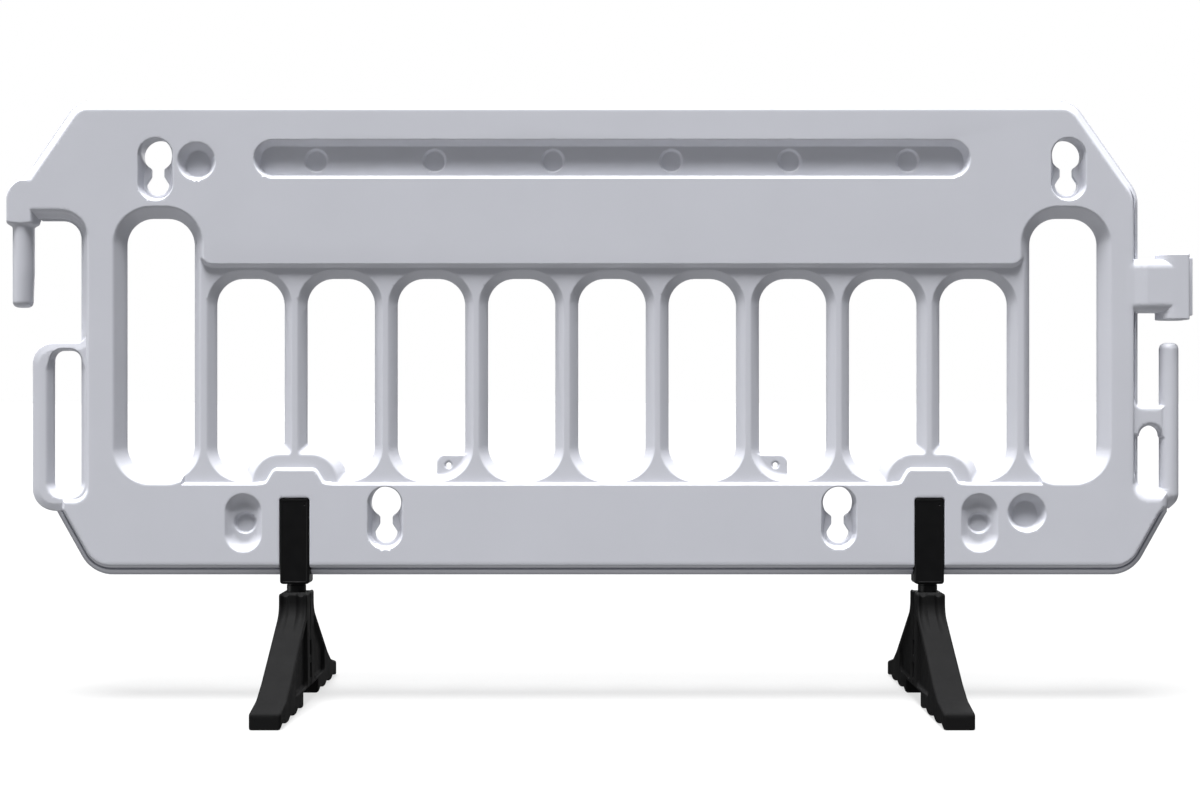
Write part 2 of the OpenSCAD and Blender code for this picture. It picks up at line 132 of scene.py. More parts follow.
# The soft roll on the right lobe: its height, and where its right end starts and how steep that is
ROLL_H = 23
ROLL_END = 902
ROLL_END_SLOPE = 1.3

# Hook: boss, collar and peg
HOOK_LOW = 806
HOOK_RIGHT = -959.5
HOOK_BOSS_Z = 805
HOOK_BOSS_HALF = 35
HOOK_BOSS_SLOPE = 1.6
COLLAR_R = 28.5
COLLAR_DROP = 15
COLLAR_BULGE = 0.55
COLLAR_SLOPE = 0.7
PEG_X = 988
PEG_R = 17.7
PEG_TIP_R = 16.5
PEG_LOW = 659
PEG_TAPER_TOP = 719
PEG_LEAN = 0.06
PEG_REACH = 825

# Small openings, their hoods and the tall openings
SLOT_COUNT = 9
SLOT_PITCH = 151.6
SLOT_W = 111.6
SLOT_H = 324
SLOT_LOW = 382.4
SLOT_R = 44
SLOT_SLOPE = 13 / 15
SLOT_RIM = 3
HOOD_HALF_W = 68.4
HOOD_Z = 368
HOOD_TOP = 411
HOOD_R = 42.9
HOOD_T = 15
HOOD_SLOPE = 15 / 17.5
TALL_X = 757.3
TALL_H = 425
TALL_SLOPE = 20 / 19

# The slatted field, and the board that hangs into it
FIELD_LOW = 362.5
FIELD_HIGH = 730.8
FIELD_SIDE = 718.4
FIELD_SLOPE = 7 / 5.5
LEDGE_SLOPE = 7 / 3.2
BOARD_HALF = 686.4
BOARD_H = 400
BOARD_R = 21
BOARD_OVERLAP = 45
# Corners of the ledge's boss over each block, from the block's own centre: x, z and radius
LEDGE_BOSS = [(-72, 330, 0), (72, 330, 0), (58, FIELD_LOW, 0), (48, FIELD_LOW + 1, 10), (34, 387.2, 10),
              (-34, 387.2, 10), (-48, FIELD_LOW + 1, 10), (-58, FIELD_LOW, 0)]

# Recesses. Rounded rectangles are given as centre x, centre z, width, height and corner radius
GROOVE = (0, 906.7, 1196, 63.6, 31.7)
GROOVE_SLOPE = 15 / 9
# Dimples: centre x and z, radius at the top and at the floor, half thickness at the top and at the floor
DIMPLES = [((i - 2.5) * 198.3, 905.5, 19.7, 16.5, GROOVE_T, 1.5) for i in range(6)]
DIMPLES += [(-693.4, 902.7, 31.7, 20, HALF_T, 6), (692.2, 315.8, 32, 20, HALF_T, 6)]
OVALS = [(side * 614.3 - 1, 299, 60.7, 97, 30.3) for side in SIDES]
OVAL_DEPTH = 10
OVAL_BOWL = 18
OVAL_DIMPLES = [(side * 614, 299, 18.8, 14, 10.5, 4) for side in SIDES]
# How much steeper the wall of a recess gets from its top to its bottom
STEEPER = 0.8
KEYHOLES = [(-762, 888.6), (762, 888.6), (-378.8, 306.5), (378.8, 306.5)]
KEY_RECESS_W = 59
KEY_RECESS_H = 105
KEY_RECESS_SLOPE = 2
KEY_RECESS_REACH = 52
KEY_HEAD_UP = 27
KEY_HEAD_R = 25.6
KEY_NECK_HALF = 10.4
KEY_TAIL_DOWN = 23
KEY_TAIL_R = 18.5
KEY_TAIL_H = 13
KEY_TAIL_SPREAD = 0.62

# Left loop
LOOP_OUT = 970.7
LOOP_IN = 935.4
LOOP_LOW = 317.5
LOOP_HIGH = 600.8
LOOP_BAR_TOP = 14.5
LOOP_ROOT = -860
LOOP_OUTER_IN = [-20, 0, 1, 2.2, 14]
LOOP_OUTER_HALF = [-60, 0, 9, 12.6, 14.5]
LOOP_INNER_IN = [-20, 0, 1.5, 12]
LOOP_INNER_HALF = [-60, 0, 4, 17]

# Right link: sleeve and upright rod
SOCKET_X = 938
SOCKET_SIDE = 963
SOCKET_T = PANEL_HIGH[1]
SOCKET_LOW = 638
SOCKET_HIGH = 748
SOCKET_BORE = 19
SOCKET_RIM = PANEL_HIGH[0] - PANEL_X
RIM_HALF_W = 20
RIM_HALF_T = 5
RIM_HALF_H = 49
LINK_Z = 694.5
LINK_HALF_H = 44.5
LINK_X = 905
LINK_HALF_W = 41
ROD_X = 935
ROD_R = 15.8
ROD_HIGH = 600
ROD_LOW = 321
BRIDGE_LOW = 443
BRIDGE_BEND = 493
BRIDGE_HIGH = 530
BRIDGE_HALF_T = 13
BRIDGE_ROOT = 860
ARCH_TOP = 461
ARCH_R = 18

# Tie tabs
TAB_IN = 225
TAB_OUT = 293.6
TAB_LOW = 340
TAB_HIGH = 412.3
TAB_R = 13.4
TAB_X = 272
TAB_HOLE = (274.1, 395)
TAB_HOLE_R = 4.4
TAB_HOLE_FLARE = 2.2

# Foot
TOE = FOOT_HIGH[1]
FOOT_TOP = FOOT_HIGH[2]
FOOT_HALF_W = (FOOT_HIGH[0] - FOOT_LOW[0]) / 2
FOOT_DRAFT = 0.8
BOSS_HALF = 34
SLOPE_TOP = 151
SLOPE_END = (168, 58)
FOOT_SIDE = [(0, FOOT_TOP, 0), (BOSS_HALF, FOOT_TOP, 4), (BOSS_HALF, SLOPE_TOP, 30), (*SLOPE_END, 60),
             (205, 38, 60), (TOE, 26, 6), (TOE, 0, 2), (0, 0, 0)]
TOOTH_PITCH = 64
TOOTH_COUNT = 3
TOOTH_GAP = 48
TOOTH_RISE = 7
ARCH_HALF = 67
ARCH_H = 24
ARCH_EDGE = 4
FLANGE_T = 11
PILLAR_HALF = 31
POCKET_LOW = 30
POCKET_OUT = 132
POCKET_DEPTH = 6
WINDOW_DEPTH = 9
WINDOW_HALF_W = 6
WINDOW_HALF_H = 12
WINDOWS = (50, 88)
FLUTE_X = 12.5
FLUTE_LEAN = 0.03
FLUTE_HALF_W = 7.2
FLUTE_DEPTH = 6

# Block and neck
BLOCK_R = 5.5
BLOCK_FRAME = 9
BLOCK_FRAME_DEPTH = 0.7
GATE_IN = 7.5
GATE_DOWN = 11
GATE_R = 1.5
GATE_DEPTH = 1.6
BLOCK_GAP = 0.3
BLOCK_SLOT_LOW = 240
NECK_SUNK = 3
NECK_BORE = 8.2

# Bodies, light and view
BODY = "barricade"
# Light from straight below, from the far floor, from the room's walls and from overhead
AROUND = [(0.0, (0.62, 0.62, 0.62)), (0.25, (0.4, 0.4, 0.4)), (0.42, (0.17, 0.17, 0.17)),
          (0.5, (0.145, 0.148, 0.155)), (1.0, (0.18, 0.185, 0.2))]
# Name, direction from the object, strength and width in degrees
LAMPS = [("key", (-0.08, -0.19, 0.978), 9.6, 26), ("left", (-1, -0.15, 0.0), 0.8, 40),
         ("back", (0.2, 1, 0.3), 1.1, 40)]
# The floor's own tint and glow, which leave it just white where no shadow falls
FLOOR_TINT = 0.13
FLOOR_GLOW = 0.68
FLOOR_SIZE = 400
FLOOR_BACK = 100
EYE_AWAY = 2.8
EYE_HIGH = 0.504
LENS = 50
SENSOR = 36
LENS_SHIFT = -0.01


def smooth_max(a, b, k):
    """Largest of two fields, with a blend about k wide where they meet."""
    blend = np.maximum(k - np.abs(a - b), 0) / k
    return np.maximum(a, b) + blend * blend * k / 4


def smooth_min(a, b, k):
    return -smooth_max(-a, -b, k)


def smooth_step(value, start, end):
    """0 up to start and 1 from end on, smooth between them; start may be the higher of the two."""
    t = np.clip((value - start) / (end - start), 0, 1)
    return t * t * (3 - 2 * t)


def zone(x, z, x_limits, *z_limits):
    """1 inside a part of the plan and 0 outside it, with a soft border."""
    share = smooth_step(x, *x_limits)
    for limits in z_limits:
        share = share * smooth_step(z, *limits)
    return share


def rounded(x, z, centre_x, centre_z, width, height, r):
    """Signed distance to a rounded rectangle."""
    qx = np.abs(x - centre_x) - width / 2 + r
    qz = np.abs(z - centre_z) - height / 2 + r
    return np.hypot(np.maximum(qx, 0), np.maximum(qz, 0)) + np.minimum(np.maximum(qx, qz), 0) - r


def circle(x, z, centre_x, centre_z, r):
    return np.hypot(x - centre_x, z - centre_z) - r


def outline(corners, steps=10):
    """Points along a polygon whose corners (x, z, radius) are rounded."""
    points = []
    for i, (x, z, r) in enumerate(corners):
        before = np.array(corners[i - 1][:2], float)
        here = np.array((x, z), float)
        after = np.array(corners[(i + 1) % len(corners)][:2], float)
        if r == 0:
            points.append(here)
            continue
        u = (here - before) / np.linalg.norm(here - before)
        w = (after - here) / np.linalg.norm(after - here)
        turn = math.atan2(u[0] * w[1] - u[1] * w[0], u @ w)
        normal = math.copysign(1, turn) * np.array((-u[1], u[0]))
        centre = here - r * math.tan(abs(turn) / 2) * u + r * normal
        for k in range(steps + 1):
            c, s = math.cos(turn * k / steps), math.sin(turn * k / steps)
            spoke = np.array((normal[0] * c - normal[1] * s, normal[0] * s + normal[1] * c))
            points.append(centre - r * spoke)
    return np.array(points)


def polygon_distance(points, x, z):
    """Signed distance to a closed polygon."""
    x, z = np.broadcast_arrays(np.float32(x), np.float32(z))
    best = np.full(x.shape, FAR * FAR * FAR, np.float32)
    inside = np.zeros(x.shape, bool)
    for a, b in zip(points.astype(np.float32), np.roll(points, -1, 0).astype(np.float32)):
        side = b - a
        length = side @ side
        if length < 1e-6:
            continue
        px, pz = x - a[0], z - a[1]
        t = np.clip((px * side[0] + pz * side[1]) / length, 0, 1)
        best = np.minimum(best, (px - side[0] * t) ** 2 + (pz - side[1] * t) ** 2)
        if side[1] != 0:
            inside ^= ((a[1] <= z) != (b[1] <= z)) & (px < pz * (side[0] / side[1]))
    return np.where(inside, -1, 1) * np.sqrt(best)


class Field:
    """A signed field on a regular grid, in millimetres."""

    def __init__(self, low, high, step):
        self.low = np.array(low, np.float32)
        self.step = np.array(np.broadcast_to(step, 3), np.float32)
        axes = [np.arange(a, b + d, d, dtype=np.float32) for a, b, d in zip(low, high, self.step)]
        self.x, self.y, self.z = np.meshgrid(*axes, indexing="ij", sparse=True)
        self.value = np.full([len(a) for a in axes], FAR, np.float32)

    def change(self, low, high, function):
        """Replaces the values inside a box by function(value, x, y, z)."""
        first = np.maximum(np.floor((np.array(low) - self.low) / self.step).astype(int), 0)
        last = np.ceil((np.array(high) - self.low) / self.step).astype(int) + 1
        i, j, k = (slice(a, b) for a, b in zip(first, last))
        self.value[i, j, k] = function(self.value[i, j, k], self.x[i], self.y[:, j], self.z[:, :, k])

    def sample(self, points):
        """Values at points given in grid steps."""
        base = np.clip(np.floor(points).astype(int), 0, np.array(self.value.shape) - 2)
        part = points - base
        total = 0
        for corner in range(8):
            offset = np.array([corner & 1, corner >> 1 & 1, corner >> 2])
            weight = np.prod(np.where(offset, part, 1 - part), axis=1)
            total = total + weight * self.value[tuple((base + offset).T)]
        return total

    def mesh(self, name, shift, keep):
        """A closed mesh of the zero surface with that share of its triangles and the field's own normals."""
        band = 3 * float(self.step.min())
        grid = openvdb.FloatGrid(background=band)
        grid.copyFromArray(np.clip(self.value, -band, band))
        points, triangles, quads = grid.convertToPolygons(isovalue=0.0, adaptivity=ADAPTIVITY)
        points = points.astype(np.float64) * self.step + self.low
        faces = np.flip(triangles, 1).tolist() + np.flip(quads, 1).tolist()
        dense = bpy.data.meshes.new(name + "_dense")
        dense.from_pydata(points.tolist(), [], faces)
        mesh = thinned(dense, keep)
        mesh.name = name
        points = np.empty(3 * len(mesh.vertices))
        mesh.vertices.foreach_get("co", points)
        points = points.reshape(-1, 3)
        first = mesh.polygons[0]
        if first.normal.dot(self.normals(points[first.vertices[0]][None])[0]) < 0:
            mesh.flip_normals()
        normals = self.corner_normals(mesh, points)
        mesh.vertices.foreach_set("co", ((points + (shift, 0, 0)) * MM).ravel())
        mesh.polygons.foreach_set("use_smooth", np.ones(len(mesh.polygons), bool))
        mesh.normals_split_custom_set(normals.tolist())
        return mesh

    def normals(self, points):
        """Unit normals of the field at points in millimetres."""
        places = (points - self.low) / self.step
        probes = PROBE * np.eye(3)
        gradient = np.stack([self.sample(places + e) - self.sample(places - e) for e in probes], 1)
        gradient = gradient / self.step
        return gradient / np.maximum(np.linalg.norm(gradient, axis=1, keepdims=True), 1e-9)

    def corner_normals(self, mesh, points):
        """A normal for each corner of each triangle, with wide triangles kept flat up to their edges."""
        corner = np.empty(len(mesh.loops), int)
        mesh.loops.foreach_get("vertex_index", corner)
        normals = self.normals(points)[corner]
        corner = corner.reshape(-1, 3)
        inward = points[corner].mean(1)[:, None] - points[corner]
        length = np.linalg.norm(inward, axis=2)
        wide = np.flatnonzero((length > WIDE).ravel())
        inward = inward / np.maximum(length, WIDE)[..., None]
        spots = (points[corner] + inward * INSET).reshape(-1, 3)[wide]
        own = self.normals(spots)
        turned = (own * normals[wide]).sum(1) < math.cos(math.radians(TURN_DEGREES))
        normals[wide[turned]] = own[turned]
        return normals


def thinned(dense, keep):
    """A mesh with only a share of its triangles kept, most of them where it is curved."""
    thing = bpy.data.objects.new(dense.name, dense)
    bpy.context.scene.collection.objects.link(thing)
    thin = thing.modifiers.new("thin", "DECIMATE")
    thin.ratio = keep
    thin.use_collapse_triangulate = True
    mesh = bpy.data.meshes.new_from_object(thing.evaluated_get(bpy.context.evaluated_depsgraph_get()))
    bpy.data.objects.remove(thing)
    bpy.data.meshes.remove(dense)
    return mesh


def sunk(distance, floor, slope, top=HALF_T):
    """Half thickness left by a shape sunk in a face: distance is negative inside its outline."""
    return smooth_max(np.float32(floor), top + distance * slope, 2)


def bowl(distance, depth, width):
    """Half thickness left by a bowl whose side is steep at its outline and level at its bottom."""
    rise = np.clip(1 + distance / width, 0, 2)
    return (HALF_T - depth + depth * np.where(rise > 1, 2 * rise - 1, rise * rise)).astype(np.float32)


def steeper_below(z, centre_z, reach):
    """How much steeper the wall of a recess is towards its bottom than at its top."""
    down = smooth_step(centre_z - z, -0.2 * reach, 0.8 * reach)
    return (1 + STEEPER * down).astype(np.float32)


def dimple(x, z, centre_x, centre_z, top_r, floor_r, top, floor):
    """Half thickness left by a round dimple."""
    slope = (top - floor) / (top_r - floor_r) * steeper_below(z, centre_z, top_r)
    return sunk(circle(x, z, centre_x, centre_z, top_r), floor, slope, top)


def edge(inside, lined):
    """Half thickness of the moulding's edge; lined is 1 where the edge has its line, 0 where it is plain."""
    plain = np.interp(inside, EDGE_IN, EDGE_HALF)
    return (plain + (np.interp(inside, EDGE_IN, LINE_HALF) - plain) * lined).astype(np.float32)


def plate_height(x, z):
    """Half thickness of the moulding over its plan, below zero where it is open."""
    inside = -polygon_distance(outline(PLATE), x, z)
    side = zone(x, z, *SIDE_ZONE)
    hook = zone(x, z, *HOOK_ZONE)
    inside = inside * (1 + (SIDE_SQUEEZE - 1) * side + (HOOK_SQUEEZE - 1) * hook)
    lined = np.maximum(smooth_step(z, *LOWER_LINE), zone(x, z, *RIGHT_LINE_ZONE))
    boss = np.minimum((x - ARM_END) * HOOK_SQUEEZE, (HOOK_RIGHT - x) * HOOK_BOSS_SLOPE)
    boss = edge(np.minimum(boss, HOOK_BOSS_HALF - np.abs(z - HOOK_BOSS_Z)), 0)
    height = np.maximum(edge(inside, lined), boss)
    height = height + (lobe_height(inside, x, z) - height) * zone(x, z, *ROLL_ZONE)
    return np.maximum(height, loop_height(x, z))


def lobe_height(inside, x, z):
    """Half thickness of the right lobe's upper part, whose top edge is one soft roll."""
    end = np.minimum(LOBE_RIGHT_TOP - z, (LOBE_RIGHT_END - x) * ROLL_END_SLOPE)
    inward = np.where(x > ROLL_END, end, inside)
    part = np.clip(inward / ROLL_H, 0, 1)
    return np.where(inward < 0, 3 * inward, HALF_T * np.sqrt(part * (2 - part)))


def loop_height(x, z):
    """Half thickness of the carry loop: flat in front, soft at its outer edge, drafted towards its gap."""
    side = PLATE_LEFT + 9
    above = LOOP_HIGH + 30
    outer = outline([(-LOOP_OUT, LOOP_LOW, 38), (LOOP_ROOT, LOOP_LOW, 0), (LOOP_ROOT, above, 0),
                     (side, above, 0), (side, LOOP_HIGH, 14), (-LOOP_OUT, LOOP_HIGH, 36)])
    outside = np.interp(-polygon_distance(outer, x, z), LOOP_OUTER_IN, LOOP_OUTER_HALF)
    top = LOOP_HIGH - LOOP_BAR_TOP
    gap = rounded(x, z, (PLATE_LEFT - LOOP_IN) / 2, (LOBE_LEFT_TOP + top) / 2,
                  LOOP_IN + PLATE_LEFT, top - LOBE_LEFT_TOP, 16)
    steeper = 1 + 1.4 * smooth_step(z, top - 34, top + 2)
    inner = np.interp(gap * steeper, LOOP_INNER_IN, LOOP_INNER_HALF)
    return smooth_min(outside, inner, 3).astype(np.float32)


def field_height(x, z):
    """Half thickness left by the slatted field, with a boss standing in it round each block."""
    high = FIELD_HIGH + BOARD_OVERLAP
    area = rounded(x, z, 0, (FIELD_LOW + high) / 2, 2 * FIELD_SIDE, high - FIELD_LOW, 1)
    board = rounded(x, z, 0, FIELD_HIGH + BOARD_H / 2, 2 * BOARD_HALF, BOARD_H, BOARD_R)
    area = np.maximum(area, -board)
    boss = np.float32(FAR)
    for side in SIDES:
        corners = [(side * FOOT_X + across, up, r) for across, up, r in LEDGE_BOSS]
        boss = np.minimum(boss, polygon_distance(outline(corners, 6), x, z))
    low = z < (FIELD_LOW + FIELD_HIGH) / 2
    area = np.where(low, smooth_max(area, -boss, 5), area)
    slope = np.where(low, LEDGE_SLOPE, FIELD_SLOPE)
    return smooth_max(np.float32(SLAT_T), HALF_T + area * slope, 1.2)


def slot_height(x, z):
    """Half thickness of the walls of the small openings and of the hoods that reach into them."""
    last = SLOT_COUNT // 2
    pitch_x = x - SLOT_PITCH * np.clip(np.round(x / SLOT_PITCH), -last, last)
    walls = rounded(pitch_x, z, 0, SLOT_LOW + SLOT_H / 2, SLOT_W, SLOT_H, SLOT_R)
    slat = SLAT_T / SLOT_SLOPE
    walls = np.interp(walls, [-60, slat, slat + SLOT_RIM, 90],
                      [-60 * SLOT_SLOPE, SLAT_T, HALF_T, 200]).astype(np.float32)
    hood = np.float32(FAR)
    for side in SIDES:
        near = rounded(x, z, side * FOOT_X, HOOD_Z, 2 * HOOD_HALF_W, 2 * (HOOD_TOP - HOOD_Z), HOOD_R)
        hood = np.minimum(hood, near)
    return smooth_max(walls, HOOD_T - hood * HOOD_SLOPE, 5)


def tall_height(x, z):
    """Half thickness of the walls of the two tall openings."""
    return rounded(np.abs(x), z, TALL_X, SLOT_LOW + TALL_H / 2, SLOT_W, TALL_H, SLOT_R) * TALL_SLOPE


def recess_heights(x, z):
    """The long groove, the dimples, the ovals and the keyholes' recesses."""
    yield sunk(rounded(x, z, *GROOVE), GROOVE_T, GROOVE_SLOPE * steeper_below(z, GROOVE[1], 32))
    for place in DIMPLES:
        yield dimple(x, z, *place)
    for oval in OVALS:
        yield bowl(rounded(x, z, *oval), OVAL_DEPTH, OVAL_BOWL)
    for place in OVAL_DIMPLES:
        yield dimple(x, z, *place)
    for centre_x, centre_z in KEYHOLES:
        recess = rounded(x, z, centre_x, centre_z + 0.7, KEY_RECESS_W, KEY_RECESS_H, KEY_RECESS_W / 2 - 0.1)
        yield sunk(recess, WEB_T, KEY_RECESS_SLOPE * steeper_below(z, centre_z, KEY_RECESS_REACH))


def keyhole(x, z):
    """Signed distance to the nearest keyhole, in plan: a round head, a neck and a tail with slanted sides."""
    total = np.float32(FAR)
    for centre_x, centre_z in KEYHOLES:
        low = centre_z - KEY_TAIL_DOWN
        hole = circle(x, z, centre_x, centre_z + KEY_HEAD_UP, KEY_HEAD_R)
        spread = KEY_NECK_HALF + KEY_TAIL_SPREAD * np.clip(low + KEY_TAIL_H - z, 0, KEY_TAIL_H)
        sides = np.maximum((np.abs(x - centre_x) - spread) * 0.85, np.maximum(low - z, z - low - 30))
        hole = smooth_min(hole, sides, 3)
        tail = np.maximum(circle(x, z, centre_x, low, KEY_TAIL_R), z - low)
        total = np.minimum(total, smooth_min(hole, tail, 1))
    return total


def solid_plate(field, x, z):
    """Fills the field with the plate: the height map in plan, stood up from the mid-plane on both sides."""
    height = plate_height(x, z)
    height = smooth_min(height, field_height(x, z), 1.6)
    height = smooth_min(height, tall_height(x, z), 2.5)
    height = smooth_min(height, slot_height(x, z), 2)
    for recess in recess_heights(x, z):
        height = smooth_min(height, recess, 1.6)
    height = np.maximum(height, -12)
    along_x, along_z = np.gradient(height, field.step[0], field.step[2])
    steepness = np.sqrt(1 + along_x ** 2 + along_z ** 2)
    holes = keyhole(x, z)
    width = BLOCK_HIGH[0] - BLOCK_LOW[0] + 2 * BLOCK_GAP
    half_h = BLOCK_HIGH[2] + BLOCK_GAP - BLOCK_SLOT_LOW
    for side in SIDES:
        block = rounded(x, z, side * FOOT_X, BLOCK_SLOT_LOW, width, 2 * half_h, 5)
        holes = np.minimum(holes, block)
    field.value = (np.abs(field.y) - height[:, None]) / steepness[:, None]
    field.value = smooth_max(field.value, -holes[:, None].astype(np.float32), 2)


def add_peg(value, x, y, z):
    """The hook's collar, cut round under its boss, and the round peg that hangs from it."""
    beside = (x + PEG_X) / COLLAR_R
    bulge = 1 - COLLAR_BULGE * (y / HALF_T) ** 2
    drop = COLLAR_DROP * bulge * np.sqrt(np.clip(1 - beside * beside, 0, 1))
    value = smooth_max(value, (HOOK_LOW - drop - z) * COLLAR_SLOPE, 1.5)
    taper = np.interp(z, [PEG_LOW, PEG_TAPER_TOP], [PEG_TIP_R, PEG_R])
    taper = taper - PEG_LEAN * (PEG_R - taper) * (x + PEG_X)
    peg = smooth_max(np.hypot(x + PEG_X, y) - taper, PEG_LOW - z, 11)
    peg = np.maximum(peg, z - ARM_LOW - 10)
    return smooth_min(value, peg, 3)


def add_socket(value, x, y, z):
    """The sleeve that takes the next panel's peg, round on one side, and the bridge that carries it."""
    across = SOCKET_SIDE - SOCKET_X
    flat = rounded(x, y, (SOCKET_X + SOCKET_SIDE) / 2, 0, across, 2 * SOCKET_T, 0.1)
    plan = np.minimum(np.hypot(x - SOCKET_X, y) - SOCKET_T, flat)
    plan = np.maximum(plan, rounded(x, y, SOCKET_SIDE - 40, 0, 80, 2 * SOCKET_T, 4))
    sleeve_z = (SOCKET_LOW + SOCKET_HIGH) / 2
    sleeve = smooth_max(plan, np.abs(z - sleeve_z) - (SOCKET_HIGH - SOCKET_LOW) / 2, 2)
    rim = np.maximum(np.abs(x - SOCKET_RIM + RIM_HALF_W) - RIM_HALF_W, np.abs(y) - RIM_HALF_T)
    rim = smooth_max(rim, np.abs(z - LINK_Z) - RIM_HALF_H, 2)
    thick = np.interp(x, [864, 892], [HALF_T - 1, SOCKET_T])
    bridge = smooth_max(np.abs(z - LINK_Z) - LINK_HALF_H, (np.abs(y) - thick) * 0.95, 16)
    bridge = np.maximum(bridge, np.abs(x - LINK_X) - LINK_HALF_W)
    out = smooth_min(value, bridge, 2)
    out = np.minimum(out, sleeve)
    out = smooth_min(out, rim, 1)
    return smooth_max(out, SOCKET_BORE - np.hypot(x - SOCKET_X, y), 2)


def add_rod(value, x, y, z):
    """The upright rod, its bridge and its foot in the lobe."""
    radius = np.hypot(x - ROD_X, y)
    rod = smooth_max(radius - ROD_R, z - ROD_HIGH, 12)
    rod = smooth_max(rod, (radius + ROD_LOW - z) * 0.7, 8)
    side = PLATE_RIGHT - 9
    inner = ROD_X - ROD_R
    end = inner + 4
    corners = [(BRIDGE_ROOT, BRIDGE_LOW, 0), (end, BRIDGE_LOW, 0), (end, BRIDGE_BEND, 0),
               (side, BRIDGE_BEND, 14), (side, BRIDGE_HIGH, 0), (BRIDGE_ROOT, BRIDGE_HIGH, 0)]
    plan = polygon_distance(outline(corners), x[:, 0], z[0])
    arch = rounded(x, z, (PLATE_RIGHT + inner) / 2, (LOBE_RIGHT_TOP + ARCH_TOP) / 2,
                   inner - PLATE_RIGHT, ARCH_TOP - LOBE_RIGHT_TOP, ARCH_R)
    plan = np.maximum(plan[:, None], -arch)
    bridge = smooth_max(plan, np.abs(y) - BRIDGE_HALF_T, 7)
    bridge = smooth_max(bridge, BRIDGE_LOW - z, 1)
    return smooth_min(smooth_min(value, bridge, 2), rod, 4)


def add_tie_tab(side):
    """A change that adds one flat tab with its flared hole."""
    def add(value, x, y, z):
        plan = rounded(x, z, side * (TAB_OUT + TAB_IN) / 2, (TAB_LOW + TAB_HIGH) / 2,
                       TAB_OUT - TAB_IN, TAB_HIGH - TAB_LOW, TAB_R)
        tab = smooth_max(plan, np.abs(y) - WEB_T, 2)
        hole = np.hypot(x - side * TAB_HOLE[0], z - TAB_HOLE[1])
        hole_r = TAB_HOLE_R + TAB_HOLE_FLARE * smooth_step(np.abs(y), WEB_T - 2, WEB_T)
        tab = smooth_max(tab, hole_r - hole, 1)
        return smooth_min(value, tab, 3)
    return add


def panel_mesh(step):
    """The whole moulding: the plate, then what stands out of it at either end and the tie tabs."""
    margin = 4 * step
    low = (ARM_END - margin, -PANEL_HIGH[1] - margin, PANEL_LOW[2] - margin)
    high = (SOCKET_RIM + margin, PANEL_HIGH[1] + margin, PANEL_HIGH[2] + margin)
    field = Field(low, high, (step, 1.5 * step, step))
    solid_plate(field, field.x[:, 0], field.z[0])
    deep = PANEL_HIGH[1] + margin
    field.change((ARM_END - margin, -deep, PEG_LOW - margin), (HOOK_RIGHT + 2, deep, PEG_REACH), add_peg)
    field.change((850, -deep, 620), (SOCKET_RIM + margin, deep, 765), add_socket)
    field.change((BRIDGE_ROOT, -deep, ROD_LOW - 4), (960, deep, 612), add_rod)
    for side in SIDES:
        centre = side * TAB_X
        field.change((centre - 40, -deep, 365), (centre + 40, deep, 420), add_tie_tab(side))
    return field.mesh("moulded_panel", PANEL_X, PANEL_KEEP)


def foot_mesh(step):
    """One foot about its own axis: a wedge each way from a boss, pocketed, fluted and toothed."""
    margin = 2 * step
    low = (-FOOT_HALF_W - margin, -TOE - margin, -margin)
    high = (FOOT_HALF_W + margin, TOE + margin, FOOT_TOP + margin)
    field = Field(low, high, step)
    x, y, z = np.abs(field.x), np.abs(field.y[0]), field.z[0]
    side = polygon_distance(outline(FOOT_SIDE, 8), y, z)
    # The profile is one half, so its edge along the middle doesn't count
    side = np.where(y < 1, np.maximum(z - FOOT_TOP, -z), side)
    width = FOOT_HALF_W - FOOT_DRAFT * smooth_step(field.z, 30, 150)
    side = side[None] + foot_flutes(x, y[None], field.z)
    body = smooth_max(side, x - width, 5)
    body = smooth_max(body, -foot_pockets(x, y[None], field.z), 3)
    body = smooth_max(body, -foot_underside(y, z)[None], 3)
    field.value = body.astype(np.float32)
    return field.mesh("foot_mesh", 0, FOOT_KEEP)


def foot_pockets(x, y, z):
    """Side pockets between a central pillar and the sloping flange, and two windows in the pillar."""
    fall = (SLOPE_TOP - SLOPE_END[1]) / (SLOPE_END[0] - BOSS_HALF)
    flange = (SLOPE_TOP - fall * (y - BOSS_HALF) - z) / math.hypot(1, fall) - FLANGE_T
    pocket = smooth_max(-flange, PILLAR_HALF - y, 8)
    pocket = smooth_max(pocket, POCKET_LOW - z, 8)
    pocket = smooth_max(pocket, y - POCKET_OUT, 10)
    pocket = smooth_max(pocket, FOOT_HALF_W - POCKET_DEPTH - x, 5)
    for centre in WINDOWS:
        window = np.maximum(np.abs(y) - WINDOW_HALF_W, np.abs(z - centre) - WINDOW_HALF_H)
        window = smooth_max(window, FOOT_HALF_W - WINDOW_DEPTH - x, 2)
        pocket = smooth_min(pocket, window, 1)
    return pocket


def foot_flutes(x, y, z):
    """How deep each end is hollowed by its two flutes, which run down the boss and out on the slope."""
    across = 1 - ((x - FLUTE_X - FLUTE_LEAN * (FOOT_TOP - z)) / FLUTE_HALF_W) ** 2
    return FLUTE_DEPTH * np.maximum(across, 0) * smooth_step(z, 112, 150) * smooth_step(y, 18, 28)


def foot_underside(y, z):
    """The arch under the middle of a foot and the scallops between its teeth."""
    arch = smooth_max(y - ARCH_HALF, z - ARCH_H, 4)
    radius = (TOOTH_GAP * TOOTH_GAP / 4 + TOOTH_RISE * TOOTH_RISE) / (2 * TOOTH_RISE)
    for i in range(TOOTH_COUNT):
        centre = ARCH_HALF + ARCH_EDGE + TOOTH_PITCH * (i + 0.5)
        arch = np.minimum(arch, circle(y, z, centre, TOOTH_RISE - radius, radius))
    return arch


